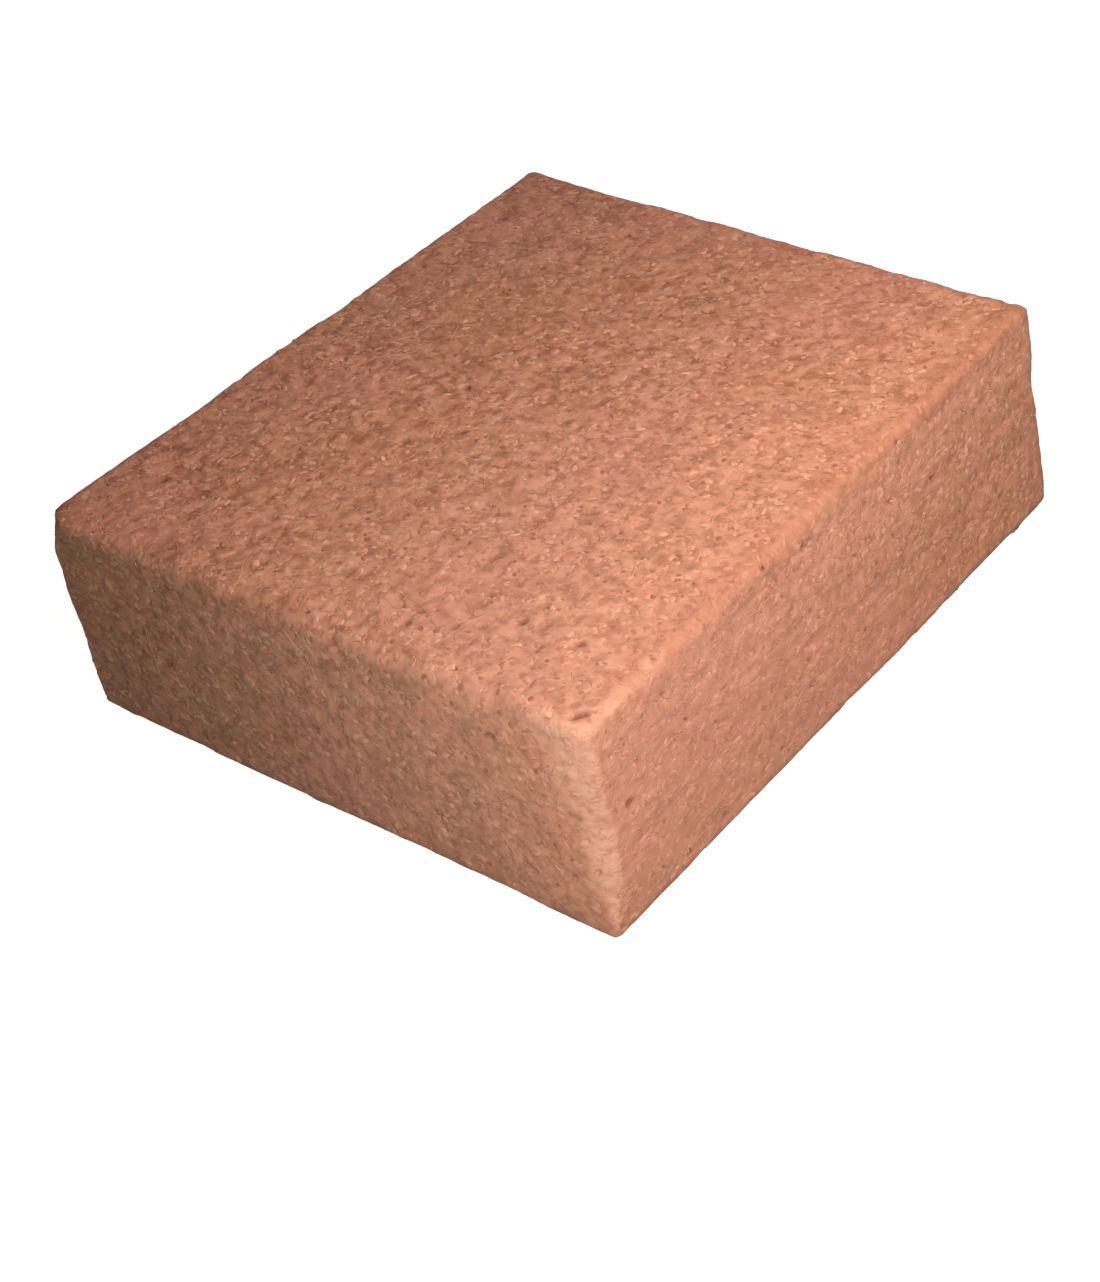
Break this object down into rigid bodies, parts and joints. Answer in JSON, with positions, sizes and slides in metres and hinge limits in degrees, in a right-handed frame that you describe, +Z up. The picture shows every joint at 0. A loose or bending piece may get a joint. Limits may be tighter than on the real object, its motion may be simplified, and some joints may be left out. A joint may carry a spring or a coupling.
{
  "type": "coconut coir bale",
  "caption": "Compressed block of coconut coir pith and short fibres, a flat slab with worn, rounded edges and a rough fibrous skin.",
  "frame": {"origin": "on the flat underside, below the middle of the block's box", "axes": "+Z up, through the block's thickness; +Y along its longest side; the corner at +X -Y is the most rubbed one"},
  "size_m": [0.282, 0.32, 0.101],
  "materials": {
    "pressed_coir": "dry, matt and fibrous: pressed coconut pith with short pale fibres"
  },
  "bodies": {
    "root": {"coir_block": "pressed_coir"}
  },
  "joints": []
}
